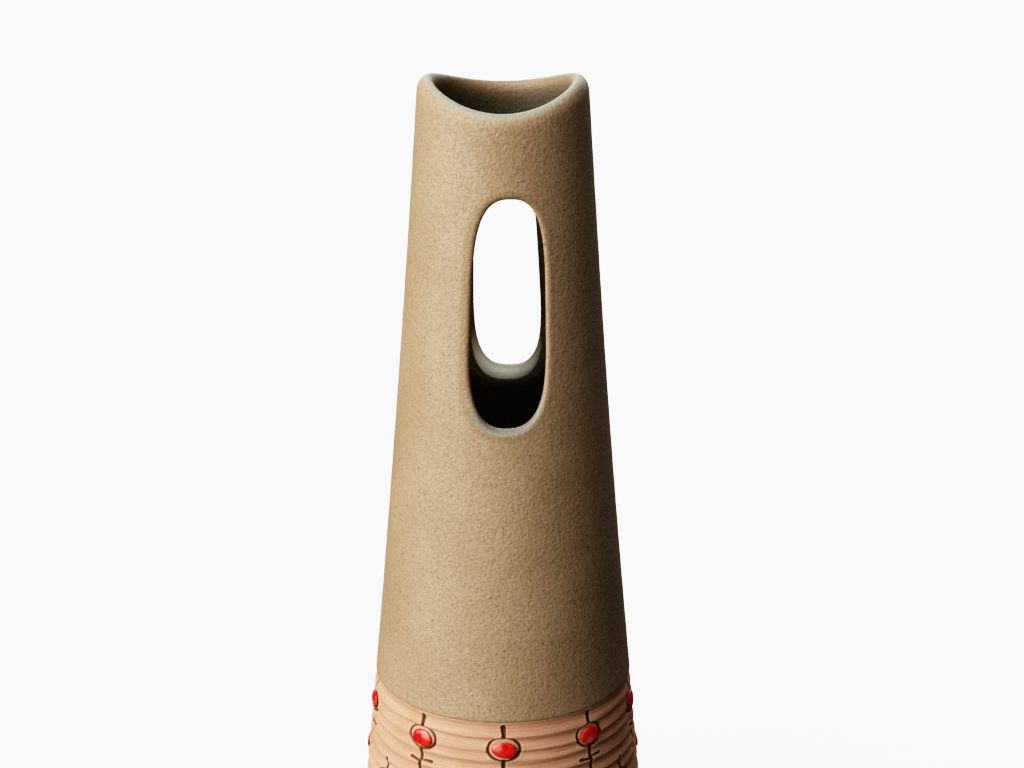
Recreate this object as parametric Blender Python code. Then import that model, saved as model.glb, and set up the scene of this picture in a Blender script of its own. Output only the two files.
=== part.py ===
"""A tall thrown stoneware bottle vase with a saddle rim and a cut window through its front and back.

Units are metres, +Z is up and the front window faces -Y. The clay is thrown in two sections that
meet in a stepped joint at the glaze line. The upper one wears a speckled glaze coat, the lower one
is bare, ridged clay with oval stamps that each hold a drop of red enamel.
"""

from math import cos, pi, radians, sin

import bmesh
import bpy
from mathutils import Matrix, Vector

# Overall form
HEIGHT = 0.400
RIM_RADIUS = 0.0296
MID_RADIUS = 0.0456
BASE_RADIUS = 0.0672
SEGMENTS = 36
GAP = 0.0003
SHARP_ANGLE = 0.6
RIDGE_SHARP_ANGLE = 0.35

# Glaze
GLAZE_LINE = 0.1748
COAT_THICKNESS = 0.0005
SKIN = GAP + COAT_THICKNESS
BARE_STEP = 0.0001

# Neck, rim and joint
NECK_WALL = 0.0055
LIP_WALL = 0.0060
LIP_SWELLS_FROM = 0.370
LIP_ARC_STEPS = 6
RIM_DIP = 0.0074
SADDLE_FROM = 0.370
SADDLE_FULL = 0.394
NECK_ROWS = 4
SADDLE_ROWS = 3
TONGUE_HEIGHT = 0.0040
TONGUE_WALL = 0.0026

# Windows, cut by hand through the front and the back of the neck
WINDOW_BOTTOM = 0.2823
WINDOW_TOP = 0.3639
WINDOW_SHIFT = 0.0016
WINDOW_LEAN = 0.018
WINDOW_LOW_ARC = (0.0135, 0.0200)
WINDOW_HIGH_ARC = (0.0127, 0.0165)
WINDOW_ARC_STEPS = 9
WINDOW_CUT_FROM = 0.010
WINDOW_CUT_TO = 0.060

# Lower section
BODY_WALL = 0.0060
FLOOR_TOP = 0.0100
FLOOR_CORNER = 0.0120
FOOT_RECESS = 0.0030
FOOT_INNER = 0.0500
FOOT_CHAMFER = 0.0015
FOOT_ROUNDING = 0.0060
CORNER_ARC_STEPS = 4
INNER_ROWS = 4
RIDGES_FROM = 0.0250
RIDGE_PITCH = 0.00515
RIDGE_DEPTH = 0.00055

# Stamped ovals and enamel drops. The ovals are spaced by eye: degrees from the front, counted
# towards +X. Those of every second row stand halfway between their neighbours above.
MOTIF_ANGLES = (0.5, 40.5, 79.0, 117.0, 149.0, 181.0, 212.0, 244.0, 280.0, 323.0)
MOTIF_ROWS = 3
MOTIF_TOP_ROW = 0.1643
MOTIF_ROW_PITCH = 0.0248
RING_SIZE = (0.0114, 0.0085)
RING_GROOVE = 0.0012
RING_DEPTH = 0.0011
SEAT_DEPTH = 0.0007
STAMP_SIDES = 12
STAMP_REACH = 0.0020
DROP_SIZE = (0.0093, 0.0064)
DROP_RISE = 0.0009
DROP_SIDES = 10
DROP_SHOULDER = 0.72

# Colours are linear RGB, followed by roughness
BARE_CLAY = ((0.62, 0.36, 0.21), 0.85)
SPECKLED_GLAZE = ((0.31, 0.24, 0.14), 0.55)
RED_ENAMEL = ((0.62, 0.025, 0.015), 0.08)
LINING = ((0.26, 0.19, 0.11), 0.35)


def clear_scene():
    for obj in list(bpy.data.objects):
        bpy.data.objects.remove(obj, do_unlink=True)


def material(name, look):
    colour, roughness = look
    made = bpy.data.materials.new(name)
    made.use_nodes = True
    shader = made.node_tree.nodes["Principled BSDF"]
    shader.inputs["Base Color"].default_value = (*colour, 1.0)
    shader.inputs["Roughness"].default_value = roughness
    shader.inputs["Metallic"].default_value = 0.0
    made.diffuse_color = (*colour, 1.0)
    return made


def outer_radius(z):
    """The glazed outside: a parabola through the radii at the base, at mid height and at the rim."""
    t = z / HEIGHT
    linear = 4 * MID_RADIUS - 3 * BASE_RADIUS - RIM_RADIUS
    curved = 2 * (BASE_RADIUS - 2 * MID_RADIUS + RIM_RADIUS)
    return BASE_RADIUS + linear * t + curved * t * t


def smooth_step(value, low, high):
    t = min(1.0, max(0.0, (value - low) / (high - low)))
    return t * t * (3 - 2 * t)


def neck_wall(z):
    """The wall with its glaze, a little thicker at the lip."""
    return NECK_WALL + (LIP_WALL - NECK_WALL) * smooth_step(z, LIP_SWELLS_FROM, HEIGHT)


def spaced(low, high, count):
    """Count intervals from low to high, both ends included."""
    return [low + (high - low) * i / count for i in range(count + 1)]


def new_object(name, bm, look=None, sharp=SHARP_ANGLE):
    bmesh.ops.remove_doubles(bm, verts=bm.verts, dist=1e-6)
    bmesh.ops.recalc_face_normals(bm, faces=bm.faces)
    mesh = bpy.data.meshes.new(name)
    bm.to_mesh(mesh)
    bm.free()
    obj = bpy.data.objects.new(name, mesh)
    bpy.context.scene.collection.objects.link(obj)
    if look is None:
        obj.hide_render = True
        obj.display_type = "WIRE"
    else:
        mesh.materials.append(look)
        mesh.shade_smooth()
        mesh.set_sharp_from_angle(angle=sharp)
    return obj


def turn(profile, closed):
    """Spins a profile of (radius, height) points round the Z axis."""
    bm = bmesh.new()
    points = [bm.verts.new((radius, 0.0, z)) for radius, z in profile]
    follows = points[1:] + points[:1] if closed else points[1:]
    edges = [bm.edges.new(pair) for pair in zip(points, follows)]
    bmesh.ops.spin(
        bm,
        geom=points + edges,
        cent=(0, 0, 0),
        axis=(0, 0, 1),
        angle=2 * pi,
        steps=SEGMENTS,
        use_merge=True,
    )
    return bm


def cut(target, cutter):
    modifier = target.modifiers.new("cut_" + cutter.name, "BOOLEAN")
    modifier.operation = "DIFFERENCE"
    modifier.solver = "EXACT"
    modifier.object = cutter


def neck_profile(bottom, grow):
    """The closed section of the neck wall. Grow is the offset of its faces out of the clay."""
    rows = spaced(bottom, SADDLE_FROM, NECK_ROWS)
    top = HEIGHT - SKIN + grow - neck_wall(HEIGHT) / 2
    rows += spaced(SADDLE_FROM, top, SADDLE_ROWS)[1:]
    outside = [(outer_radius(z) - SKIN + grow, z) for z in rows]
    inside = [(outer_radius(z) - neck_wall(z) + SKIN - grow, z) for z in reversed(rows)]
    half_wall = (outside[-1][0] - inside[0][0]) / 2
    middle = inside[0][0] + half_wall
    rise = HEIGHT - SKIN + grow - top
    lip = [
        (middle + half_wall * cos(angle), top + rise * sin(angle))
        for angle in spaced(0.0, pi, LIP_ARC_STEPS)[1:-1]
    ]
    return outside + lip + inside


def saddle(bm):
    """Lowers the rim at the front and the back, keeping each point on the taper."""
    for point in bm.verts:
        radius = point.co.xy.length
        facing = point.co.y / radius
        old = point.co.z
        new = old - RIM_DIP * facing**2 * smooth_step(old, SADDLE_FROM, SADDLE_FULL)
        scale = (radius + outer_radius(new) - outer_radius(old)) / radius
        point.co = (point.co.x * scale, point.co.y * scale, new)


def window_outline(grow):
    """(x, z) points of a window: an elliptical arc below, straight sides, an elliptical arc above."""
    low_width, low_height = (size - grow for size in WINDOW_LOW_ARC)
    high_width, high_height = (size - grow for size in WINDOW_HIGH_ARC)
    low_centre = WINDOW_BOTTOM + WINDOW_LOW_ARC[1]
    high_centre = WINDOW_TOP - WINDOW_HIGH_ARC[1]
    angles = spaced(0.0, pi, WINDOW_ARC_STEPS)
    high = [(high_width * cos(a), high_centre + high_height * sin(a)) for a in angles]
    low = [(-low_width * cos(a), low_centre - low_height * sin(a)) for a in angles]
    return high + low


def window_cutter(name, side, grow):
    """A prism through one wall. Side is -1 for the front, 1 for the back."""
    bm = bmesh.new()
    near = side * WINDOW_CUT_FROM
    face = bm.faces.new([bm.verts.new((x, near, z)) for x, z in window_outline(grow)])
    pushed = bmesh.ops.extrude_face_region(bm, geom=[face])["geom"]
    moved = [item for item in pushed if isinstance(item, bmesh.types.BMVert)]
    bmesh.ops.translate(bm, verts=moved, vec=(0, side * (WINDOW_CUT_TO - WINDOW_CUT_FROM), 0))
    centre = Vector((0, 0, (WINDOW_BOTTOM + WINDOW_TOP) / 2))
    lean = Matrix.Rotation(-side * WINDOW_LEAN, 3, "Y")
    bmesh.ops.rotate(bm, verts=bm.verts, cent=centre, matrix=lean)
    bmesh.ops.translate(bm, verts=bm.verts, vec=(WINDOW_SHIFT, 0, 0))
    return new_object(name, bm)


def neck_solid(name, bottom, grow, look=None):
    bm = turn(neck_profile(bottom, grow), closed=True)
    saddle(bm)
    obj = new_object(name, bm, look)
    cut(obj, window_cutter(name + "_front_window", -1, grow))
    cut(obj, window_cutter(name + "_back_window", 1, grow))
    return obj


def upper_body(look):
    """The thrown upper section, with a recess inside its lower edge for the tongue."""
    obj = neck_solid("upper_body", GLAZE_LINE + GAP, 0.0, look)
    top = GLAZE_LINE + TONGUE_HEIGHT + 2 * GAP
    recess = [
        (inner_clay_radius(GLAZE_LINE) + TONGUE_WALL + GAP, GLAZE_LINE - TONGUE_HEIGHT),
        (inner_clay_radius(GLAZE_LINE) + TONGUE_WALL + GAP, top),
        (0.0, top),
    ]
    bm = turn([(0.0, GLAZE_LINE - TONGUE_HEIGHT), *recess], closed=False)
    cut(obj, new_object("tongue_recess", bm))
    return obj


def glaze_coat(look):
    """The fired glaze: a skin over the outside, the lip, the window edges and the inside of the neck."""
    coat = neck_solid("glaze_coat", GLAZE_LINE + GAP, SKIN, look)
    hollow = neck_solid("glaze_coat_hollow", GLAZE_LINE - TONGUE_HEIGHT, GAP)
    cut(coat, hollow)
    return coat


def inner_clay_radius(z):
    """The inside of the clay of the lower section, before any lining glaze."""
    blend = smooth_step(z, FLOOR_TOP, GLAZE_LINE)
    wall = BODY_WALL + (NECK_WALL - SKIN - BODY_WALL) * blend
    return outer_radius(z) - wall


def cup_inside(offset, top):
    """Points down the inside of the lower section and across its floor, offset into the hollow."""
    corner = FLOOR_CORNER - offset
    corner_z = FLOOR_TOP + FLOOR_CORNER
    wall = [(inner_clay_radius(z) - offset, z) for z in spaced(top, corner_z, INNER_ROWS)]
    centre = wall[-1][0] - corner
    arc = [
        (centre + corner * cos(a), corner_z - corner * sin(a))
        for a in spaced(0.0, pi / 2, CORNER_ARC_STEPS)[1:]
    ]
    return wall + arc + [(0.0, FLOOR_TOP + offset)]


def foot_profile():
    """From the axis across the recessed underside, round the standing ring and up to the wall."""
    wall = outer_radius(FOOT_ROUNDING) - BARE_STEP
    arc_centre = wall - FOOT_ROUNDING
    arc = [
        (arc_centre + FOOT_ROUNDING * sin(a), FOOT_ROUNDING * (1 - cos(a)))
        for a in spaced(0.0, pi / 2, CORNER_ARC_STEPS)
    ]
    underside = [
        (0.0, FOOT_RECESS),
        (FOOT_INNER - FOOT_CHAMFER, FOOT_RECESS),
        (FOOT_INNER, 0.0),
    ]
    return underside + arc


def ridged_wall():
    """Concave throwing scallops with a crest between each two."""
    count = int((GLAZE_LINE - RIDGES_FROM) / RIDGE_PITCH)
    points = []
    for i in range(count + 1):
        crest = GLAZE_LINE - (count - i) * RIDGE_PITCH
        points.append((outer_radius(crest) - BARE_STEP, crest))
        if i < count:
            valley = crest + RIDGE_PITCH / 2
            points.append((outer_radius(valley) - BARE_STEP - RIDGE_DEPTH, valley))
    return points


def lower_body(look):
    """The thrown lower section: foot ring, floor, ridged wall and a tongue at the joint."""
    inner = inner_clay_radius(GLAZE_LINE)
    tongue_top = GLAZE_LINE + TONGUE_HEIGHT
    tongue = [
        (inner + TONGUE_WALL, GLAZE_LINE),
        (inner + TONGUE_WALL, tongue_top),
        (inner, tongue_top),
    ]
    profile = foot_profile() + ridged_wall() + tongue + cup_inside(0.0, GLAZE_LINE)
    return new_object("lower_body", turn(profile, closed=False), look, RIDGE_SHARP_ANGLE)


def lining_glaze(look):
    """The glaze poured inside the lower section, a thin cup over its wall and floor."""
    outside = cup_inside(GAP, GLAZE_LINE - GAP)
    inside = cup_inside(SKIN, GLAZE_LINE - GAP)
    profile = inside[::-1] + outside
    return new_object("lining_glaze", turn(profile, closed=False), look)


def motif_angle(row, place):
    here = MOTIF_ANGLES[place]
    if row % 2 == 0:
        return radians(here)
    following = MOTIF_ANGLES[(place + 1) % len(MOTIF_ANGLES)]
    return radians(here + (following - here) % 360 / 2)


def motif_frame(row, place):
    """The matrix of one motif: x along the row, y up the wall, z out of the clay."""
    z = MOTIF_TOP_ROW - row * MOTIF_ROW_PITCH
    turned = motif_angle(row, place)
    slope = (outer_radius(z + RIDGE_PITCH) - outer_radius(z - RIDGE_PITCH)) / (2 * RIDGE_PITCH)
    across = Vector((cos(turned), sin(turned), 0))
    outward = Vector((sin(turned), -cos(turned), 0))
    up = (outward * slope + Vector((0, 0, 1))).normalized()
    normal = across.cross(up)
    point = outward * (outer_radius(z) - BARE_STEP) + Vector((0, 0, z))
    axes = Matrix((across, up, normal)).transposed().to_4x4()
    return Matrix.Translation(point) @ axes


def oval(bm, frame, size, depth, sides):
    """A loop of points on an oval of the given width and height, depth above the clay."""
    points = []
    for i in range(sides):
        angle = 2 * pi * i / sides
        local = Vector((size[0] / 2 * cos(angle), size[1] / 2 * sin(angle), depth))
        points.append(bm.verts.new(frame @ local))
    return points


def bridge(bm, loops):
    """Closes the bands between loops that follow each other."""
    for low, high in zip(loops, loops[1:]):
        for i in range(len(low)):
            j = (i + 1) % len(low)
            bm.faces.new((low[i], low[j], high[j], high[i]))


def motif_places():
    return [(row, place) for row in range(MOTIF_ROWS) for place in range(len(MOTIF_ANGLES))]


def stamps():
    """One cutter for all stamps: an oval groove round a flat seat that lies higher than its floor."""
    bm = bmesh.new()
    outside = [size + RING_GROOVE for size in RING_SIZE]
    inside = [size - RING_GROOVE for size in RING_SIZE]
    for row, place in motif_places():
        frame = motif_frame(row, place)
        steps = (
            (outside, STAMP_REACH),
            (outside, -RING_DEPTH),
            (inside, -RING_DEPTH),
            (inside, -SEAT_DEPTH),
        )
        loops = [oval(bm, frame, size, depth, STAMP_SIDES) for size, depth in steps]
        bridge(bm, loops)
        bm.faces.new(loops[0])
        bm.faces.new(loops[-1])
    return new_object("stamps", bm)


def enamel_drop(row, place, look):
    """A domed drop with a flat back, resting in the seat of its stamp."""
    bm = bmesh.new()
    frame = motif_frame(row, place)
    shoulder = [size * DROP_SHOULDER for size in DROP_SIZE]
    back = GAP - SEAT_DEPTH
    loops = [
        oval(bm, frame, DROP_SIZE, back, DROP_SIDES),
        oval(bm, frame, DROP_SIZE, 0.0, DROP_SIDES),
        oval(bm, frame, shoulder, DROP_RISE * DROP_SHOULDER, DROP_SIDES),
    ]
    bridge(bm, loops)
    bm.faces.new(loops[0])
    top = bm.verts.new(frame @ Vector((0, 0, DROP_RISE)))
    for i in range(DROP_SIDES):
        bm.faces.new((loops[-1][i], loops[-1][(i + 1) % DROP_SIDES], top))
    return new_object(f"enamel_drop_{row + 1}_{place + 1:02d}", bm, look)


def main():
    clear_scene()
    clay = material("bare_clay", BARE_CLAY)
    glaze = material("speckled_glaze", SPECKLED_GLAZE)
    enamel = material("red_enamel", RED_ENAMEL)
    lower = lower_body(clay)
    cut(lower, stamps())
    upper_body(clay)
    glaze_coat(glaze)
    lining_glaze(material("lining_glaze", LINING))
    for row, place in motif_places():
        enamel_drop(row, place, enamel)


main()
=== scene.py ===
"""The looks of a stoneware bottle vase with a windowed neck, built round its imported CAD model.

Units are metres, +Z is up and the front window faces -Y. Turns are angles round +Z, counted from the
front towards +X. The neck is a glazed skin round a clay core, the lower section is bare ridged clay
with carved rings and lines, and each ring holds a drop of red enamel.
"""

import random
from math import cos, pi, radians, sin

import bmesh
import bpy
import numpy as np
from mathutils import Matrix, Vector

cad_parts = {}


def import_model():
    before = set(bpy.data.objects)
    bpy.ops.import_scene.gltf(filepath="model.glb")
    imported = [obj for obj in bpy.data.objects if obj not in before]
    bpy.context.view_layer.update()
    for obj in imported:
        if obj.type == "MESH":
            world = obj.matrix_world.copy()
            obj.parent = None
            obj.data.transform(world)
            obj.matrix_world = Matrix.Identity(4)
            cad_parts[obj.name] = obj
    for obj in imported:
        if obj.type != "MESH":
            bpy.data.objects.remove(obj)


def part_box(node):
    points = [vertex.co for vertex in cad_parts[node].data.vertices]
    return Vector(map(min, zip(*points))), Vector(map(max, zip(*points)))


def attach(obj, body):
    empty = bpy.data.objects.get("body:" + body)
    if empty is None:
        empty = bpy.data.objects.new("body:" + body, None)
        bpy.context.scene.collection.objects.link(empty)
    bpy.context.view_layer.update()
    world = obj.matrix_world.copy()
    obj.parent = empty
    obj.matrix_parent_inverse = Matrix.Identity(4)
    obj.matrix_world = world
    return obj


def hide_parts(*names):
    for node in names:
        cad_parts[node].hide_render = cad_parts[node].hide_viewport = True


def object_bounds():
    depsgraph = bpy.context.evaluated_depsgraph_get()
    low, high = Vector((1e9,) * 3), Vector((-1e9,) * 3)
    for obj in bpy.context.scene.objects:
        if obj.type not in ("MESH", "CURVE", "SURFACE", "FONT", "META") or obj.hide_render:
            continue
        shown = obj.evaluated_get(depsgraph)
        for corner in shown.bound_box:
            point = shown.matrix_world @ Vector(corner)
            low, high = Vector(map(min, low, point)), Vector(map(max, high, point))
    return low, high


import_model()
CAD_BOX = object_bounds()

# The CAD model's own dimensions
HEIGHT = CAD_BOX[1][2]
RIM_RADIUS = 0.0296
MID_RADIUS = 0.0456
BASE_RADIUS = 0.0672
GAP = 0.0003
COAT_THICKNESS = 0.0005
SKIN = GAP + COAT_THICKNESS
BARE_STEP = 0.0001
NECK_WALL = 0.0055
LIP_WALL = 0.0060
LIP_SWELLS_FROM = 0.370
LIP_OUTSIDE = (0.0034, 0.0050)
LIP_INSIDE = (0.0026, 0.0040)
RIM_DIP = 0.0074
SADDLE_FROM = 0.370
SADDLE_FULL = 0.394
TONGUE_HEIGHT = 0.0040
TONGUE_WALL = 0.0026
BODY_WALL = 0.0060
FLOOR_TOP = 0.0100
FLOOR_CORNER = 0.0120
FOOT_RECESS = 0.0030
FOOT_INNER = 0.0500
FOOT_CHAMFER = 0.0015
FOOT_ROUNDING = 0.0060

# The glaze edge: its mean height, and how far it wavers
EDGE_HEIGHT = 0.17445
EDGE_WAVER = 0.00012
EDGE_SEAM = 0.0001
EDGE_ROUNDING = 0.00045
# The lowest rows of the neck, as multiples of the rounding
FOOT_ROWS_AT = (0.0, 0.18, 0.45, 1, 2, 3)

# Windows: top, bottom, half width at mid height and how fast it narrows upwards, shift and lean
WINDOW_SQUARENESS = (2.6, 4.0)
FRONT_WINDOW = {
    "top": 0.3640,
    "bottom": 0.2828,
    "half_width": 0.01295,
    "taper": 0.028,
    "shift": 0.0019,
    "lean": 0.012,
}
BACK_WINDOW = {
    "top": 0.3640,
    "bottom": 0.2818,
    "half_width": 0.0120,
    "taper": 0.032,
    "shift": 0.0012,
    "lean": -0.025,
}

# The rounding of the windows' edges: how far it reaches over the wall and how deep it goes
OUTER_ROUNDING = (0.0021, 0.0018)
INNER_ROUNDING = (0.0034, 0.0022)

# Mesh density of the neck
COLUMNS = 160
WINDOW_COLUMNS = 20
PATCH_LOW = 0.268
PATCH_HIGH = 0.3715
PATCH_ROWS = 40
LOW_ROWS = 32
TOP_ROWS = 14
LIP_STEPS = 16
RING_STEPS = 7
FILLET_STEPS = 8

# Marks for the glaze. How thin it is on the lowest rows, and on a window's edge: mean, and how much
# less or more on the right or left side, the darker left edge being painted shade
THIN_AT_FOOT = (1.0, 1.0, 0.95, 0.8, 0.5, 0.2)
BREAK_AND_SHADE_AT_EDGE = (0.65, 0.35)
# The depths below the lip over which painted shade darkens the inside
DARKENS_OVER = (-0.001, 0.008)
# How far a surface has to face up for the painted sheen, a pale grey painted reflection, to show there,
# the help that a thin edge gives, and what the sides and the back of the rim lose
SHEEN_OVER = (0.38, 0.72)
EDGE_HELP = 0.46
SIDE_LOSS = 0.30
BACK_LOSS = 0.60
# How far a window's edge has to face down for its sill to begin there
SILL_OVER = (-0.1, 0.7)

# Throwing ridges of the lower section: the top crests, then a hand's pitch down to the foot
TOP_CRESTS = (0.16885, 0.1637, 0.1595, 0.1540, 0.1484)
RIDGE_PITCH = 0.00515
RIDGE_DEPTH = 0.00072
RIDGE_SKEW = 1.4
RIDGES_TO = 0.027
FINE_FROM = 0.100
BODY_COLUMNS = 640
FINE_ROWS = 14
COARSE_ROWS = 6

# Carved motifs: a ring, a stem above it, and a longer stem below it crossed by two ticks
MOTIF_ROWS = 3
MOTIFS_IN_ROW = 10
RING_RADII = (0.0057, 0.00425)
RING_HALF_WIDTH = 0.00062
SEAT_DEPTH = 0.0005
GROOVE_DEPTH = 0.0009
GROOVE_WALL = 0.0005
BURR_HEIGHT = 0.00020
BURR_WIDTH = 0.00022
STEM_ABOVE = (0.0040, 0.0046)
STEM_ABOVE_WIDTHS = (0.00105, 0.00080)
STEM_BELOW = 0.0105
STEM_WIDTHS = (0.00075, 0.00105)
TICK_BELOW = (0.0048, 0.0053)
SECOND_TICK_BELOW = (0.0074, 0.0082)
TICK_REACH = 0.0047
THIN_STROKE = 0.0004

# Drops of enamel: offset in the ring, radii, rise, sides and rings of the dome and the shares of the
# radius at which its flat back has loops, and the place and size of the patch with a painted pink
# highlight
DROP_OFFSET = (0.0002, -0.0002)
DROP_RADII = (0.0046, 0.0032)
DROP_RISE = 0.0008
DROP_SIDES = 36
DROP_RINGS = 9
DROP_BACK = (0.2, 0.6, 0.97)
HIGHLIGHT_ORBIT = (0.0030, 0.0021)
HIGHLIGHT_FADE = (-0.0024, -0.0007)
HIGHLIGHT_FIRST_TURN = 145
HIGHLIGHT_TURN_STEP = 110

# Colours, linear RGB
GLAZE_BEIGE = (0.44, 0.292, 0.162)
GLAZE_CLOUD = (0.38, 0.245, 0.128)
GLAZE_MOTTLE = (0.21, 0.125, 0.050)
GLAZE_SPECK = (0.085, 0.042, 0.017)
GLAZE_PALE = (0.56, 0.42, 0.29)
# Browner where the glaze breaks thin, also used as painted shade on the windows' left edges
GLAZE_BREAK_AND_SHADE = (0.25, 0.150, 0.065)
# Painted sheen: a pale grey painted reflection on surfaces that face up, and painted light on the back
# sill
GLAZE_PAINTED_SHEEN = (0.40, 0.40, 0.30)
# Painted shade inside the neck and inside the windows
GLAZE_SHADED_INSIDE = (0.100, 0.083, 0.052)
GLAZE_SILL = (0.20, 0.172, 0.132)
CLAY_BUFF = (0.74, 0.390, 0.235)
CLAY_CLOUD = (0.66, 0.330, 0.190)
CLAY_LINE = (0.42, 0.175, 0.088)
# Painted highlight along the raised burrs of the carved strokes
CLAY_BURR_HIGHLIGHT = (0.82, 0.49, 0.32)
CLAY_BROWN = (0.22, 0.080, 0.032)
CARVED_BROWN = (0.120, 0.048, 0.018)
ENAMEL_RED = (0.60, 0.008, 0.006)
ENAMEL_ORANGE = (0.78, 0.030, 0.014)
# Painted highlight: the pale pink reflection of a lamp on each drop
ENAMEL_PAINTED_HIGHLIGHT = (0.84, 0.230, 0.180)
LINING_BROWN = (0.16, 0.100, 0.055)
BACKGROUND = 0.7066
SURROUND = 0.024

# Tone: an S curve x^p (1 + k) / (x^p + k) on every channel, as a camera's picture style has
TONE_POWER = 1.49
TONE_KNEE = 0.09
TONE_POINTS = 14

# Lamps: kind, azimuth and elevation in degrees, distance, power, and size or angle
LAMPS_ON_VASE = {
    "key": ("AREA", -57, 20, 2.0, 33.5, (2.2, 2.4)),
    "top": ("AREA", -20, 68, 1.6, 3.6, (1.4, 1.4)),
    "back": ("AREA", 180, 24, 1.6, 9, (2.0, 1.2)),
}
LAMP_ON_FLOOR = ("SUN", -40, 68, 2.0, 2.56, radians(40))
LAMPS_AIM = 0.7
# The narrow lamp through the front window: elevation, distance, beam angle and power, how far behind
# the axis and above the back window's sill its beam is centred
BEAM_ELEVATION = 4.5
BEAM_LENGTH = 1.5
BEAM_ANGLE = 1.0
BEAM_POWER = 34
BEAM_AIM = (0.033, 0.0115)

# Camera: focal length in millimetres, shift, distance in front of the axis, height as a share of the
# vase's, and how far it looks down in degrees
LENS = 80
SHIFT = 0.0090
CAMERA_AHEAD = 0.7766
CAMERA_HEIGHT = 1.41125
LOOKS_DOWN = 19.67


# ---------------------------------------------------------------- form


def outer_radius(z):
    """The glazed outside: a parabola through the radii at the base, at mid height and at the rim."""
    t = z / HEIGHT
    linear = 4 * MID_RADIUS - 3 * BASE_RADIUS - RIM_RADIUS
    curved = 2 * (BASE_RADIUS - 2 * MID_RADIUS + RIM_RADIUS)
    return BASE_RADIUS + linear * t + curved * t * t


def smooth_step(value, low, high):
    t = np.clip((value - low) / (high - low), 0.0, 1.0)
    return t * t * (3 - 2 * t)


def neck_wall(z):
    return NECK_WALL + (LIP_WALL - NECK_WALL) * smooth_step(z, LIP_SWELLS_FROM, HEIGHT)


def inner_clay_radius(z):
    blend = smooth_step(z, FLOOR_TOP, EDGE_HEIGHT)
    return outer_radius(z) - (BODY_WALL + (NECK_WALL - SKIN - BODY_WALL) * blend)


def waver(turn):
    """How far the glaze edge and the throwing ridges run above or below their mean height."""
    return EDGE_WAVER * (np.sin(2 * turn + 0.9) + 0.6 * np.sin(5 * turn + 2.0))


def hand_wobble(turn, z):
    """The slight unevenness that a thrown wall keeps."""
    slow = 0.00009 * np.sin(2 * turn + 9 * z + 0.6) + 0.00006 * np.sin(3 * turn - 31 * z + 2.1)
    rings = 0.000025 * np.sin(410 * z + 1.5 * np.sin(turn + 20 * z))
    return slow + rings


def place(turn, radius, z):
    """Points from turns, radii and heights."""
    turn, radius, z = np.broadcast_arrays(turn, radius, z)
    return np.stack([radius * np.sin(turn), -radius * np.cos(turn), z], axis=-1)


def saddle(points):
    """Lowers the rim at the front and the back, keeping each point on the taper."""
    radius = np.hypot(points[:, 0], points[:, 1])
    facing = points[:, 1] / radius
    old = points[:, 2]
    new = old - RIM_DIP * facing**2 * smooth_step(old, SADDLE_FROM, SADDLE_FULL)
    scale = (radius + outer_radius(new) - outer_radius(old)) / radius
    return np.stack([points[:, 0] * scale, points[:, 1] * scale, new], axis=-1)


def uneven(points):
    """Moves points in or out by the wobble of the wall."""
    radius = np.hypot(points[:, 0], points[:, 1])
    turn = np.arctan2(points[:, 0], -points[:, 1])
    scale = (radius + hand_wobble(turn, points[:, 2])) / radius
    return np.stack([points[:, 0] * scale, points[:, 1] * scale, points[:, 2]], axis=-1)


# ---------------------------------------------------------------- meshes


def quads(first, second):
    """Faces between two closed loops of as many vertex numbers."""
    return np.stack([first, np.roll(first, -1), np.roll(second, -1), second], axis=-1).tolist()


def new_piece(name, points, faces, material, replaced, values=None):
    """A smooth mesh object that rides on the vase, with named numbers per vertex."""
    mesh = bpy.data.meshes.new(name)
    mesh.from_pydata(points.tolist(), [], faces)
    for attribute, numbers in (values or {}).items():
        layer = mesh.attributes.new(attribute, "FLOAT", "POINT")
        layer.data.foreach_set("value", np.asarray(numbers, np.float32))
    bm = bmesh.new()
    bm.from_mesh(mesh)
    bmesh.ops.recalc_face_normals(bm, faces=bm.faces)
    bm.to_mesh(mesh)
    bm.free()
    mesh.shade_smooth()
    mesh.materials.append(material)
    piece = bpy.data.objects.new(name, mesh)
    bpy.context.scene.collection.objects.link(piece)
    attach(piece, "root")
    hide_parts(replaced)
    return piece


def window_outline(window, count):
    """Points (x, z) evenly spaced round a window, from its right side upwards, and the directions
    out of the window at each."""
    t = np.linspace(0, 2 * pi, 6001)
    half_height = (window["top"] - window["bottom"]) / 2
    rise = np.sign(np.sin(t)) * np.abs(np.sin(t)) ** (2 / WINDOW_SQUARENESS[1]) * half_height
    wide = np.sign(np.cos(t)) * np.abs(np.cos(t)) ** (2 / WINDOW_SQUARENESS[0])
    x = wide * (window["half_width"] - window["taper"] * rise) + window["shift"] + window["lean"] * rise
    z = window["bottom"] + half_height + rise
    along = np.concatenate([[0], np.cumsum(np.hypot(np.diff(x), np.diff(z)))])
    wanted = np.linspace(0, along[-1], count, endpoint=False)
    outline = np.stack([np.interp(wanted, along, x), np.interp(wanted, along, z)], axis=-1)
    forward = np.roll(outline, -1, axis=0) - np.roll(outline, 1, axis=0)
    outward = np.stack([forward[:, 1], -forward[:, 0]], axis=-1)
    return outline, outward / np.linalg.norm(outward, axis=1, keepdims=True)


def on_wall(flat, side, inner, inset):
    """Lifts (x, z) points onto the outer or the inner face of the front or back wall."""
    x, z = flat[..., 0], flat[..., 1]
    radius = outer_radius(z) - neck_wall(z) + inset if inner else outer_radius(z) - inset
    return np.stack([x, side * np.sqrt(radius**2 - x**2), z], axis=-1)


def fillet(start, corner, end):
    """Points on a round edge from start to end, drawn towards corner."""
    points = []
    for t in np.linspace(0, 1, FILLET_STEPS + 1):
        weights = (1 - t) ** 2, 1.5 * t * (1 - t), t**2
        points.append((weights[0] * start + weights[1] * corner + weights[2] * end) / sum(weights))
    return points


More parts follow.
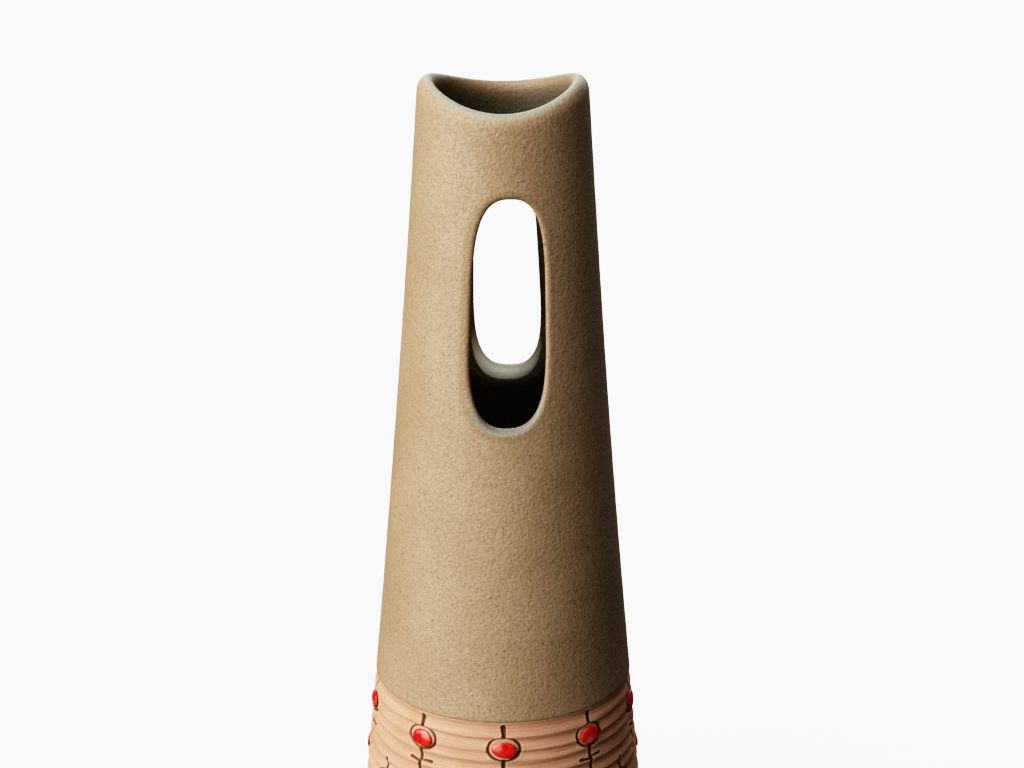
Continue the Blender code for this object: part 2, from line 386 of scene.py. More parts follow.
def window_side(border, outline, outward, side, inner, inset):
    """Loops of points from a patch's border over one face of the wall and round the window's edge."""
    reach, depth = (size - inset for size in (INNER_ROUNDING if inner else OUTER_ROUNDING))
    edge = outline + inset * outward
    start = edge + reach * outward
    loops = []
    for i in range(RING_STEPS - 1, 0, -1):
        share = (i / RING_STEPS) ** 1.3
        loops.append(on_wall(start + share * (border - start), side, inner, inset))
    corner = on_wall(edge, side, inner, inset)
    inwards = np.array([0.0, (side if inner else -side) * depth, 0.0])
    return loops + fillet(on_wall(start, side, inner, inset), corner, corner + inwards)


def neck_rows(inset, inner_lift):
    """Radii and heights of the rows from the outer foot of the neck, over the lip, to its inner foot,
    each as one value per column, and the numbers of the first patch row outside and inside."""
    foot = EDGE_HEIGHT + EDGE_SEAM + waver(neck_turns())
    if inset > COAT_THICKNESS:
        foot = foot + GAP
    low = [foot + EDGE_ROUNDING * multiple for multiple in FOOT_ROWS_AT]
    low += rows_to_patch(foot + 4 * EDGE_ROUNDING)
    inner_low = rows_to_patch(foot + inner_lift)
    patch = [np.full(COLUMNS, z) for z in np.linspace(PATCH_LOW, PATCH_HIGH, PATCH_ROWS + 1)]
    outer_top = rows_between(PATCH_HIGH, HEIGHT - LIP_OUTSIDE[1])
    inner_top = rows_between(PATCH_HIGH, HEIGHT - LIP_INSIDE[1])
    rows = []
    for z in low + patch + outer_top:
        short = np.clip(EDGE_ROUNDING - (z - foot), 0, EDGE_ROUNDING)
        under = EDGE_ROUNDING - np.sqrt(EDGE_ROUNDING**2 - short**2)
        rows.append((outer_radius(z) - np.maximum(inset, under), z))
    rows += lip_rows(inset)
    for z in (inner_low + patch + inner_top)[::-1]:
        rows.append((outer_radius(z) - neck_wall(z) + inset, z))
    radii, heights = (np.array(values) for values in zip(*rows))
    return radii, heights, len(low), len(rows) - len(inner_low) - PATCH_ROWS - 1


def neck_turns():
    return np.arange(COLUMNS) * 2 * pi / COLUMNS


def rows_to_patch(low):
    """Rows from an uneven height up to the foot of the windows' patches."""
    return [low + (PATCH_LOW - low) * i / LOW_ROWS for i in range(LOW_ROWS)]


def lip_rows(inset):
    """Radii and heights over the rounded lip, from its outer to its inner side."""
    rows = []
    middle = outer_radius(HEIGHT) - LIP_OUTSIDE[0]
    for angle in np.linspace(0, pi, LIP_STEPS + 1)[1:-1]:
        width, height = LIP_OUTSIDE if angle < pi / 2 else LIP_INSIDE
        z = HEIGHT - height + (height - inset) * sin(angle)
        on_taper = outer_radius(z) - outer_radius(HEIGHT)
        radius = middle + on_taper + (width - inset) * cos(angle)
        rows.append((np.full(COLUMNS, radius), np.full(COLUMNS, z)))
    return rows


def rows_between(low, high):
    """Level rows of the neck above its windows."""
    return [np.full(COLUMNS, z) for z in np.linspace(low, high, TOP_ROWS + 1)[1:]]


def patch_border(grid, first_row, step, middle, mirrored):
    """Numbers of the grid's points round a window's patch, from its right side upwards, as seen from
    the front. Step is 1 where later rows are higher, else -1."""
    half_rows = PATCH_ROWS // 2
    low_row = first_row if step > 0 else first_row + PATCH_ROWS
    right = -1 if mirrored else 1
    up = list(range(half_rows, PATCH_ROWS)) + [PATCH_ROWS] * (2 * WINDOW_COLUMNS)
    up += list(range(PATCH_ROWS, 0, -1)) + [0] * (2 * WINDOW_COLUMNS) + list(range(half_rows))
    across = [WINDOW_COLUMNS] * half_rows + list(range(WINDOW_COLUMNS, -WINDOW_COLUMNS, -1))
    across += [-WINDOW_COLUMNS] * PATCH_ROWS + list(range(-WINDOW_COLUMNS, WINDOW_COLUMNS))
    across += [WINDOW_COLUMNS] * half_rows
    return grid[low_row + step * np.array(up), (middle + right * np.array(across)) % COLUMNS]


def neck_surface(inset, inner_lift=0.0):
    """The face of the neck moved into its clay by inset: points, faces, three marks per point (how
    thin the glaze is, with painted shade on the windows' left edges; how far inside it lies, for
    painted shade there; and how it lies on a window's sill), and the loops at its outer and inner foot."""
    radii, heights, first_out, first_in = neck_rows(inset, inner_lift)
    grid = np.arange(radii.size).reshape(radii.shape)
    points = [place(neck_turns()[None, :], radii, heights).reshape(-1, 3)]
    marks = [grid_marks(heights, first_in)]
    faces = grid_faces(grid, first_out, first_in)
    used = grid.size
    for window, side, middle in ((FRONT_WINDOW, -1, 0), (BACK_WINDOW, 1, COLUMNS // 2)):
        outer = patch_border(grid, first_out, 1, middle, side > 0)
        inner = patch_border(grid, first_in, -1, middle, side > 0)
        loops, outward = window_loops(window, side, points[0][outer], points[0][inner], inset)
        numbers = [outer]
        for step, loop in enumerate(loops):
            numbers.append(np.arange(used, used + len(loop)))
            used += len(loop)
            points.append(loop)
            marks.append(loop_marks(step, len(loops), outward, side))
        numbers.append(inner)
        for first, second in zip(numbers, numbers[1:]):
            faces += quads(first, second)
    points = uneven(saddle(np.concatenate(points)))
    return points, faces, np.concatenate(marks), grid[0], grid[-1]


def grid_marks(heights, first_in):
    """The marks on the neck's rows: thin at the foot, and inside, for painted shade, from the lip on."""
    marks = np.zeros((*heights.shape, 3))
    for row, break_and_shade in enumerate(THIN_AT_FOOT):
        marks[row, :, 0] = break_and_shade
    inner_rows = slice(first_in - TOP_ROWS - LIP_STEPS // 2, len(heights))
    marks[inner_rows, :, 1] = smooth_step(HEIGHT - heights[inner_rows], *DARKENS_OVER)
    return marks.reshape(-1, 3)


def grid_faces(grid, first_out, first_in):
    """Faces between the neck's rows, with a gap for each window's patch."""
    covered = {row for first in (first_out, first_in) for row in range(first, first + PATCH_ROWS)}
    faces = []
    for row in range(len(grid) - 1):
        for column, face in enumerate(quads(grid[row], grid[row + 1])):
            offset = (column + WINDOW_COLUMNS) % (COLUMNS // 2)
            if row not in covered or offset >= 2 * WINDOW_COLUMNS:
                faces.append(face)
    return faces


def window_loops(window, side, outer, inner, inset):
    """Loops of points from a window's outer border through the wall to its inner border, and the
    directions out of the window."""
    outline, outward = window_outline(window, len(outer))
    outside = window_side(outer[:, [0, 2]], outline, outward, side, False, inset)
    inside = window_side(inner[:, [0, 2]], outline, outward, side, True, inset)
    return outside + inside[::-1], outward


def loop_marks(step, count, outward, side):
    """The marks on one of the loops through a window."""
    marks = np.zeros((len(outward), 3))
    at_edge = RING_STEPS - 2 <= step <= count - RING_STEPS + 1
    # A browner break on the window's edge, darker on the left edge as painted shade
    marks[:, 0] = at_edge * (BREAK_AND_SHADE_AT_EDGE[0] - BREAK_AND_SHADE_AT_EDGE[1] * outward[:, 0])
    # Painted shade on the loops inside the window's wall
    marks[:, 1] = step > count - RING_STEPS
    marks[:, 2] = sill_mark(step, count, side) * smooth_step(-outward[:, 1], *SILL_OVER)
    return marks


def sill_mark(step, count, side):
    """How the glaze lies on a window's edge, from its outer to its inner side: towards -1 over the
    outer rounding and the flat of the front one, where it is grey, and towards 1 on the inner
    rounding of the back one, where it gets painted light that makes it pale."""
    if side < 0:
        middle = (count - 6) / 2
        return -np.clip(1.5 - abs(step - middle) / 5, 0, 1)
    rising = (step - count / 2) / 2
    falling = (count - RING_STEPS + 3.5 - step) / 1.5
    return np.clip(rising, 0, 1) * np.clip(falling, 0, 1)


def used_only(points, faces, values):
    """Drops the points that no face uses."""
    flat = np.unique(np.concatenate([np.array(face) for face in faces]))
    number = np.full(len(points), -1)
    number[flat] = np.arange(len(flat))
    return points[flat], [[int(number[i]) for i in face] for face in faces], values[flat]


def glaze_skin(material):
    """The glaze coat: the neck's face and a second face under it, joined along its two lower edges."""
    points, faces, marks, outer_foot, inner_foot = neck_surface(0.0)
    under, under_faces, under_marks, _, _ = neck_surface(COAT_THICKNESS)
    shift = len(points)
    faces += [[i + shift for i in face] for face in under_faces]
    faces += quads(outer_foot, outer_foot + shift) + quads(inner_foot, inner_foot + shift)
    points = np.concatenate([points, under])
    points, faces, marks = used_only(points, faces, np.concatenate([marks, under_marks]))
    # The break mark also carries painted shade on the windows' left edges; the inside mark carries
    # painted shade
    values = {"break_and_shade": marks[:, 0], "inside": marks[:, 1]}
    piece = new_piece(
        "glaze_skin", points, faces, material, "glaze_coat", values
    )
    paint_sheen(piece, points, marks[:, 0], marks[:, 2])
    return piece


def paint_sheen(piece, points, break_and_shade, sill):
    """Notes on each vertex a painted sheen, a pale grey painted reflection: where the surface faces up,
    more on the edges of the windows and less at the sides and back of the rim. Sill says where it is
    greyer (below 0) or painted pale all over as painted light (above 0)."""
    mesh = piece.data
    normals = np.empty(len(mesh.vertices) * 3, np.float32)
    mesh.vertex_normals.foreach_get("vector", normals)
    up = normals[2::3]
    reach = np.hypot(points[:, 0], points[:, 1])
    facing = (points[:, 1] / reach) ** 2
    rise = up + EDGE_HELP * np.minimum(break_and_shade, BREAK_AND_SHADE_AT_EDGE[0]) - SIDE_LOSS * (1 - facing)
    painted_sheen = smooth_step(rise, *SHEEN_OVER)
    at_back = smooth_step(points[:, 1] / reach, -0.25, 0.20) * (sill == 0)
    painted_sheen *= 1 - BACK_LOSS * at_back
    values = {"painted_sheen": np.maximum(painted_sheen, sill), "grey": np.maximum(-sill, 0)}
    for name, value in values.items():
        layer = mesh.attributes.new(name, "FLOAT", "POINT")
        layer.data.foreach_set("value", value.astype(np.float32))


def neck_clay(material):
    """The clay core under the glaze, with the recess that takes the tongue of the lower section."""
    lift = TONGUE_HEIGHT + GAP
    points, faces, _, outer_foot, inner_foot = neck_surface(SKIN, lift)
    turns = neck_turns()
    foot = points[outer_foot][:, 2]
    recess = inner_clay_radius(EDGE_HEIGHT) + TONGUE_WALL + GAP
    strip = np.concatenate([place(turns, recess, foot), place(turns, recess, foot + lift)])
    low = np.arange(COLUMNS) + len(points)
    faces += quads(outer_foot, low) + quads(low, low + COLUMNS) + quads(low + COLUMNS, inner_foot)
    points = np.concatenate([points, strip])
    points, faces, _ = used_only(points, faces, np.zeros(len(points)))
    return new_piece("neck_clay", points, faces, material, "upper_body")


# ---------------------------------------------------------------- lower section


def ridge_crests():
    """Heights of the crests from the glaze edge down to the foot."""
    draw = random.Random(11)
    crests = [EDGE_HEIGHT - EDGE_SEAM, *TOP_CRESTS]
    while crests[-1] > RIDGES_TO + RIDGE_PITCH:
        crests.append(crests[-1] - RIDGE_PITCH * draw.uniform(0.86, 1.14))
    return crests


def wall_rows():
    """Heights of the rows up the ridged wall, and how deep each lies in its scallop."""
    crests = ridge_crests()[::-1]
    heights, depths = [], []
    for low, high in zip(crests, crests[1:]):
        steps = FINE_ROWS if high > FINE_FROM else COARSE_ROWS
        for i in range(steps):
            heights.append(low + (high - low) * i / steps)
            scallop = sin(pi * (i / steps) ** RIDGE_SKEW)
            depths.append((high - low) / RIDGE_PITCH * RIDGE_DEPTH * scallop)
    return np.array(heights + [crests[-1]]), np.array(depths + [0.0])


def segment_cut(u, v, start, end, widths):
    """Distance from a straight stroke's side, negative inside it. Widths are half widths at its start
    and end."""
    along = (end[0] - start[0], end[1] - start[1])
    share = ((u - start[0]) * along[0] + (v - start[1]) * along[1]) / (along[0] ** 2 + along[1] ** 2)
    share = np.clip(share, 0, 1)
    away = np.hypot(u - start[0] - share * along[0], v - start[1] - share * along[1])
    return away - (widths[0] + (widths[1] - widths[0]) * share)


def motif_cut(u, v, draw):
    """Distance from the nearest stroke of one motif, negative inside it, and how far inside the ring
    a point lies."""
    u = u + 0.00005 * np.sin(v * 1300 + draw.uniform(0, 6)) + 0.00003 * np.sin(v * 3100)
    v = v + 0.00007 * np.sin(u * 1100 + draw.uniform(0, 6))
    wide, high = (radius * draw.uniform(0.97, 1.04) for radius in RING_RADII)
    cut, inside = ring_cut(u, v, wide, high, draw)
    for start, end, widths in motif_strokes(high, draw):
        cut = np.minimum(cut, segment_cut(u, v, start, end, widths))
    return cut, inside


def ring_cut(u, v, wide, high, draw):
    """Distance from an oval groove of uneven width, negative inside it, and how far inside the oval a
    point lies."""
    round_ring = np.arctan2(v / high, u / wide)
    reach = np.hypot(u / wide, v / high) + 1e-9
    slope = np.hypot(u / wide**2, v / high**2) / reach
    off_ring = (reach - 1) / np.maximum(slope, 50.0)
    strength = 0.80 + 0.20 * np.cos(2 * round_ring + draw.uniform(-0.4, 0.4))
    strength += 0.14 * np.cos(round_ring + draw.uniform(0.3, 1.1))
    return np.abs(off_ring) - RING_HALF_WIDTH * strength, -off_ring


def motif_strokes(high, draw):
    """The straight strokes above and below a ring: start, end and the half widths there."""
    slant = draw.uniform(-0.0003, 0.0003)
    stem_top = high + draw.uniform(*STEM_ABOVE)
    tick = -high - draw.uniform(*TICK_BELOW)
    jog = draw.choice((-1, 1)) * draw.uniform(0.0003, 0.0005)
    stem = draw.uniform(*STEM_WIDTHS)
    widths = (stem, 0.9 * stem)
    second = tick - draw.uniform(*SECOND_TICK_BELOW)
    return [
        ((slant, stem_top), (0, high + 0.0003), STEM_ABOVE_WIDTHS),
        ((0, -high - 0.0002), (slant, tick + 0.0006), widths),
        ((-TICK_REACH, tick + 0.0001), (-0.0006, tick - 0.0003), (0.0006, 0.0005)),
        ((0.0010, tick + 0.0003), (TICK_REACH, tick + 0.0006), (THIN_STROKE, 0.0006)),
        ((-jog, tick - 0.0006), (-jog + slant, tick - STEM_BELOW), widths),
        ((-0.0033, second), (0.0030, second + 0.0004), (THIN_STROKE, THIN_STROKE)),
    ]


def motif_places():
    """The row, number, turn and height of each motif, from the enamel drops of the CAD model."""
    places = []
    for row in range(1, MOTIF_ROWS + 1):
        for number in range(1, MOTIFS_IN_ROW + 1):
            low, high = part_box(f"enamel_drop_{row}_{number:02d}")
            middle = (low + high) / 2
            places.append((row, number, np.arctan2(middle.x, -middle.y), middle.z))
    return places


def carve(turns, z, depth):
    """Cuts the motifs into the wall: returns its new depth and the distance from the nearest stroke."""
    nearest = np.full(z.shape, 0.01)
    for row, number, turn, height in motif_places():
        draw = random.Random(100 * row + number)
        u = outer_radius(height) * ((turns - turn + pi) % (2 * pi) - pi)
        v = z - height
        rows = np.nonzero((np.abs(v + 0.007) < 0.019).any(axis=1))[0]
        columns = np.nonzero(np.abs(u) < 0.008)[0]
        spot = np.ix_(rows, columns)
        cut, inside = motif_cut(u[columns][None, :] + 0 * v[spot], v[spot], draw)
        seat = smooth_step(inside, -0.0001, 0.0008)
        depth[spot] += seat * (SEAT_DEPTH - depth[spot])
        nearest[spot] = np.minimum(nearest[spot], cut)
    groove = GROOVE_DEPTH * smooth_step(-nearest, 0.0, GROOVE_WALL)
    burr = BURR_HEIGHT * np.exp(-(((nearest - BURR_WIDTH) / BURR_WIDTH) ** 2))
    return depth + groove - burr, nearest


def cup_inside(offset, turns):
    """Radii and heights down the inside of the lower section and over its floor to near the axis."""
    corner = FLOOR_CORNER - offset
    corner_z = FLOOR_TOP + FLOOR_CORNER
    top = EDGE_HEIGHT - GAP + waver(turns)
    rows = []
    for share in np.linspace(0, 1, 16):
        z = top + (corner_z - top) * share
        rows.append((inner_clay_radius(z) - offset, z))
    centre = inner_clay_radius(corner_z) - offset - corner
    for angle in np.linspace(0, pi / 2, 9)[1:]:
        rows.append((centre + corner * cos(angle), corner_z - corner * sin(angle)))
    for share in (0.75, 0.5, 0.25, 0.08):
        rows.append((centre * share, FLOOR_TOP + offset))
    return rows


def foot_rows():
    """Radii and heights from near the axis across the underside and round the standing ring."""
    wall = outer_radius(FOOT_ROUNDING) - BARE_STEP
    rows = [(FOOT_INNER * share, FOOT_RECESS) for share in (0.1, 0.4, 0.7, 0.9)]
    rows.append((FOOT_INNER - FOOT_CHAMFER, FOOT_RECESS))
    rows.append((FOOT_INNER - FOOT_CHAMFER / 2, FOOT_RECESS / 3))
    rows.append((FOOT_INNER, 0.0))
    for angle in np.linspace(0, pi / 2, 9):
        rows.append((wall - FOOT_ROUNDING * (1 - sin(angle)), FOOT_ROUNDING * (1 - cos(angle))))
    for z in np.linspace(FOOT_ROUNDING, ridge_crests()[-1], 10)[1:-1]:
        rows.append((outer_radius(z) - BARE_STEP, z))
    return rows


def revolve(turns, rows):
    """Points and faces of rows of (radius, height), closed on the axis at both ends."""
    count = len(turns)
    points = np.concatenate([place(turns, radius, z) for radius, z in rows])
    numbers = np.arange(len(points)).reshape(len(rows), count)
    faces = []
    for first, second in zip(numbers, numbers[1:]):
        faces += quads(first, second)
    ends = []
    for loop in (numbers[0], numbers[-1]):
        centre = len(points) + len(ends)
        ends.append([0.0, 0.0, points[loop[0], 2]])
        faces += [[centre, int(a), int(b)] for a, b in zip(loop, np.roll(loop, -1))]
    return np.concatenate([points, ends]), faces


def carved_wall(turns):
    """Radii and heights of the ridged wall with its motifs, and the distance from the nearest stroke."""
    heights, depths = wall_rows()
    fade = smooth_step(heights, RIDGES_TO, FINE_FROM)[:, None]
    wave = 0.00022 * np.sin(3 * turns[None, :] + 170 * heights[:, None])
    wave = wave + 0.00012 * np.sin(7 * turns[None, :] - 260 * heights[:, None])
    wave = wave * smooth_step(-heights, -EDGE_HEIGHT, -TOP_CRESTS[0])[:, None]
    z = heights[:, None] + waver(turns)[None, :] * fade + wave
    uneven_depth = 1 + 0.22 * np.sin(2 * turns[None, :] + 500 * heights[:, None])
    depth, nearest = carve(turns, z, depths[:, None] * uneven_depth)
    wall = outer_radius(z) - BARE_STEP - depth + hand_wobble(turns[None, :], z)
    return wall, z, nearest


def ridged_clay(material):
    """The bare lower section: foot ring, ridged and carved wall, tongue and inside."""
    turns = np.arange(BODY_COLUMNS) * 2 * pi / BODY_COLUMNS
    wall, z, nearest = carved_wall(turns)
    inner = inner_clay_radius(EDGE_HEIGHT)
    top = EDGE_HEIGHT - EDGE_SEAM + waver(turns)
    tongue = [(inner + TONGUE_WALL, top), (inner + TONGUE_WALL, top + TONGUE_HEIGHT)]
    tongue += [(inner + TONGUE_WALL / 2, top + TONGUE_HEIGHT), (inner, top + TONGUE_HEIGHT)]
    foot = foot_rows()
    rows = foot + list(zip(wall, z)) + tongue + cup_inside(0.0, turns)
    points, faces = revolve(turns, rows)
    cut = np.full(len(points), 0.01)
    below_glaze = np.full(len(points), 0.05)
    first = len(foot) * BODY_COLUMNS
    cut[first : first + nearest.size] = nearest.reshape(-1)
    below_glaze[first : first + z.size] = (top[None, :] - z).reshape(-1)
    values = {"cut": cut, "below_glaze": below_glaze}
    return new_piece("ridged_clay", points, faces, material, "lower_body", values)


def lining_cup(material):
    turns = neck_turns()
    rows = cup_inside(SKIN, turns)[::-1] + cup_inside(GAP, turns)
    points, faces = revolve(turns, rows)
    return new_piece("lining_cup", points, faces, material, "lining_glaze")


def drop_shape(draw):
    """Points and faces of one drop: a flat dome with an uneven outline. X runs along the row, y up the
    wall and z out of the clay."""
    phases = [draw.uniform(0, 2 * pi) for _ in range(3)]
    size = draw.uniform(0.96, 1.03)
    angles = np.arange(DROP_SIDES) * 2 * pi / DROP_SIDES
    outline = 1 + 0.035 * np.cos(2 * angles + phases[0]) + 0.035 * np.cos(3 * angles + phases[1])
    outline += 0.020 * np.cos(5 * angles + phases[2])
    lean = (draw.uniform(-0.10, 0.10), draw.uniform(-0.16, -0.02))
    base = GAP - SEAT_DEPTH
    loops = [(share, base) for share in DROP_BACK]
    for i in range(DROP_RINGS):
        angle = pi / 2 * i / DROP_RINGS
        share = cos(angle) ** 0.62
        swell = 1 + lean[0] * share * np.cos(angles) + lean[1] * share * np.sin(angles)
        loops.append((share, base + (DROP_RISE - base) * sin(angle) ** 0.70 * swell))
    local = []
    for share, lift in loops:
        x = DROP_RADII[0] * size * share * outline * np.cos(angles) + DROP_OFFSET[0]
        y = DROP_RADII[1] * size * share * outline * np.sin(angles) + DROP_OFFSET[1]
        local.append(np.stack([x, y, lift + 0 * x], axis=-1))
    numbers = np.arange(len(loops) * DROP_SIDES).reshape(len(loops), DROP_SIDES)
    faces = []
    for first, second in zip(numbers, numbers[1:]):
        faces += quads(first, second)
    for centre, loop in zip((numbers.size, numbers.size + 1), (numbers[0], numbers[-1])):
        faces += [[centre, int(a), int(b)] for a, b in zip(loop, np.roll(loop, -1))]
    ends = [[*DROP_OFFSET, base], [*DROP_OFFSET, DROP_RISE]]
    return np.concatenate([*local, ends]), faces


def red_drop(row, number, turn, height, material):
    """A bead of enamel, seated in its ring, with a painted pink highlight on one patch."""
    draw = random.Random(500 + 100 * row + number)
    local, faces = drop_shape(draw)
    # The patch of painted highlight, placed at a different turn on each drop
    patch = radians(HIGHLIGHT_FIRST_TURN + HIGHLIGHT_TURN_STEP * (number - 1))
    across = local[:, 0] - HIGHLIGHT_ORBIT[0] * cos(patch)
    along = local[:, 1] - HIGHLIGHT_ORBIT[1] * sin(patch)
    painted_highlight = draw.uniform(0.7, 1.0) * smooth_step(-np.hypot(across, along), *HIGHLIGHT_FADE)
    matrix = np.array(motif_frame(turn, height))
    points = local @ matrix[:3, :3].T + matrix[:3, 3]
    return new_piece(
        f"red_drop_{row}_{number:02d}",
        points,
        faces,
        material,
        f"enamel_drop_{row}_{number:02d}",
        {"painted_highlight": painted_highlight},
    )


def motif_frame(turn, z):
    """The matrix of one motif: x along the row, y up the wall, z out of the clay."""
    slope = (outer_radius(z + RIDGE_PITCH) - outer_radius(z - RIDGE_PITCH)) / (2 * RIDGE_PITCH)
    across = Vector((cos(turn), sin(turn), 0))
    outward = Vector((sin(turn), -cos(turn), 0))
    up = (outward * slope + Vector((0, 0, 1))).normalized()
    point = outward * (outer_radius(z) - BARE_STEP) + Vector((0, 0, z))
    axes = Matrix((across, up, across.cross(up))).transposed().to_4x4()
    return Matrix.Translation(point) @ axes


# ---------------------------------------------------------------- materials


def node(tree, kind, values=None, **settings):
    """A shader node with its settings, and values or links for its inputs."""
    made = tree.nodes.new("ShaderNode" + kind)
    for name, value in settings.items():
        setattr(made, name, value)
    for socket, value in (values or {}).items():
        if isinstance(value, bpy.types.NodeSocket):
            tree.links.new(value, made.inputs[socket])
        else:
            made.inputs[socket].default_value = value
    return made


def new_material(name):
    made = bpy.data.materials.new(name)
    made.use_nodes = True
    tree = made.node_tree
    return made, tree, tree.nodes["Principled BSDF"], node(tree, "TexCoord").outputs["Object"]


def stretched(tree, coordinates, scale):
    return node(tree, "Mapping", {"Vector": coordinates, "Scale": scale}).outputs["Vector"]


def noise(tree, coordinates, scale, detail=2.0, roughness=0.5):
    values = {"Vector": coordinates, "Scale": scale, "Detail": detail, "Roughness": roughness}
    return node(tree, "TexNoise", values).outputs["Fac"]


def fade(tree, value, low, high, start=0.0, end=1.0):
    """Start where value is low or beyond, end where it is high or beyond, smooth between."""
    values = {"Value": value, "From Min": low, "From Max": high, "To Min": start, "To Max": end}
    return node(tree, "MapRange", values, interpolation_type="SMOOTHSTEP").outputs["Result"]


def times(tree, first, second):
    return node(tree, "Math", {0: first, 1: second}, operation="MULTIPLY").outputs["Value"]


def plus(tree, first, second):
    return node(tree, "Math", {0: first, 1: second}, operation="ADD").outputs["Value"]


def blend(tree, share, first, second):
    """Colour first where share is 0 and second where it is 1. Colours are triples or links."""
    values = {0: share}
    for socket, colour in ((6, first), (7, second)):
        values[socket] = (*colour, 1.0) if isinstance(colour, tuple) else colour
    return node(tree, "Mix", values, data_type="RGBA").outputs[2]


def specks(tree, coordinates, scale, size, share):
    """Round specks: one to a cell of a Voronoi pattern, in the given share of the cells."""
    values = {"Vector": coordinates, "Scale": scale}
    cells = node(tree, "TexVoronoi", values)
    split = node(tree, "SeparateColor", {"Color": cells.outputs["Color"]})
    spot = fade(tree, cells.outputs["Distance"], size * 0.45, size, 1.0, 0.0)
    chosen = fade(tree, split.outputs["Red"], share, share + 0.25, 1.0, 0.0)
    return times(tree, spot, chosen)


def attribute(tree, name):
    return node(tree, "Attribute", attribute_name=name).outputs["Fac"]


def bump(tree, height, strength, distance, below=None):
    values = {"Height": height, "Strength": strength, "Distance": distance}
    if below is not None:
        values["Normal"] = below
    return node(tree, "Bump", values).outputs["Normal"]


def speckled_glaze():
    """Satin-matt beige glaze: soft clouding, iron specks, and a browner break where it is thin, with
    painted shade on the windows' left edges and inside, and a painted pale sheen where it faces up.
    """
    made, tree, shader, space = new_material("speckled_glaze_looks")
    warm = noise(tree, space, 28, 3)
    colour = blend(tree, fade(tree, warm, 0.3, 0.7), GLAZE_BEIGE, GLAZE_CLOUD)
    mottle = fade(tree, noise(tree, space, 900, 3, 0.6), 0.42, 0.64)
    colour = blend(tree, times(tree, mottle, 0.43), colour, GLAZE_MOTTLE)
    pale = fade(tree, noise(tree, space, 1150, 2, 0.6), 0.50, 0.70)
    colour = blend(tree, times(tree, pale, 0.22), colour, GLAZE_PALE)
    iron = specks(tree, space, 430, 0.26, 0.20)
    colour = blend(tree, times(tree, iron, 0.50), colour, GLAZE_SPECK)
    # Break colour: thin glaze, and painted shade on the windows' left edges
    colour = blend(tree, times(tree, attribute(tree, "break_and_shade"), 0.60), colour, GLAZE_BREAK_AND_SHADE)
    # Painted shade inside the neck and the windows
    colour = blend(tree, times(tree, attribute(tree, "inside"), 0.92), colour, GLAZE_SHADED_INSIDE)
    # Painted sheen on up-facing surfaces, and painted light on the back window's sill
    colour = blend(tree, times(tree, attribute(tree, "painted_sheen"), 0.85), colour, GLAZE_PAINTED_SHEEN)
    colour = blend(tree, times(tree, attribute(tree, "grey"), 0.90), colour, GLAZE_SILL)
    tree.links.new(colour, shader.inputs["Base Color"])
    tree.links.new(fade(tree, mottle, 0.0, 1.0, 0.54, 0.64), shader.inputs["Roughness"])
    shader.inputs["Specular IOR Level"].default_value = 0.65
    swell = bump(tree, noise(tree, space, 260, 1), 0.4, 0.0002)
    peel = bump(tree, noise(tree, space, 860, 2, 0.6), 1.0, 0.00029, swell)
    pits = bump(tree, plus(tree, mottle, iron), -0.3, 0.00008, peel)
    tree.links.new(pits, shader.inputs["Normal"])
    return made


def bare_clay():
    """Unglazed buff-pink stoneware with fine throwing lines, iron brown in the carved strokes and a
    painted highlight along the burrs beside them.
    """
    made, tree, shader, space = new_material("bare_clay_looks")
    cloud = noise(tree, space, 55, 3)
    colour = blend(tree, fade(tree, cloud, 0.3, 0.7), CLAY_BUFF, CLAY_CLOUD)
    lines = noise(tree, stretched(tree, space, (40, 40, 1100)), 1.0, 3, 0.6)
    colour = blend(tree, fade(tree, lines, 0.42, 0.70, 0.0, 0.40), colour, CLAY_LINE)
    grit = fade(tree, noise(tree, space, 900, 2, 0.6), 0.55, 0.78)
    colour = blend(tree, times(tree, grit, 0.22), colour, CLAY_BROWN)
    fleck = specks(tree, space, 420, 0.13, 0.12)
    colour = blend(tree, times(tree, fleck, 0.45), colour, CLAY_BROWN)
    near_glaze = fade(tree, attribute(tree, "below_glaze"), 0.0001, 0.0006, 0.45, 0.0)
    colour = blend(tree, near_glaze, colour, CLAY_BROWN)
    cut = attribute(tree, "cut")
    # Painted highlight: a pale band along the burrs beside each stroke
    edge = times(tree, fade(tree, cut, 0.00005, 0.0003), fade(tree, cut, 0.0004, 0.0008, 1.0, 0.0))
    colour = blend(tree, times(tree, edge, 0.40), colour, CLAY_BURR_HIGHLIGHT)
    stain = fade(tree, cut, -0.0003, 0.0002, 1.0, 0.0)
    colour = blend(tree, stain, colour, CARVED_BROWN)
    tree.links.new(colour, shader.inputs["Base Color"])
    tree.links.new(fade(tree, cloud, 0.3, 0.7, 0.80, 0.92), shader.inputs["Roughness"])
    shader.inputs["Specular IOR Level"].default_value = 0.25
    coarse = bump(tree, lines, 0.8, 0.00040)
    fine = bump(tree, noise(tree, space, 1300, 3, 0.6), 0.45, 0.00022, coarse)
    tree.links.new(fine, shader.inputs["Normal"])
    return made


def red_enamel():
    """Thick glossy red glass, more orange where it is thin, with a painted pink highlight on a patch
    of each drop.
    """
    made, tree, shader, space = new_material("red_enamel_looks")
    pool = fade(tree, noise(tree, space, 330, 2), 0.35, 0.68)
    colour = blend(tree, pool, ENAMEL_RED, ENAMEL_ORANGE)
    # Painted highlight: the pale pink reflection of a lamp on one patch
    colour = blend(tree, times(tree, attribute(tree, "painted_highlight"), 0.85), colour, ENAMEL_PAINTED_HIGHLIGHT)
    tree.links.new(colour, shader.inputs["Base Color"])
    tree.links.new(fade(tree, pool, 0.0, 1.0, 0.18, 0.30), shader.inputs["Roughness"])
    shader.inputs["IOR"].default_value = 1.52
    ripple = bump(tree, noise(tree, space, 260, 1), 0.30, 0.00025)
    tree.links.new(ripple, shader.inputs["Normal"])
    return made


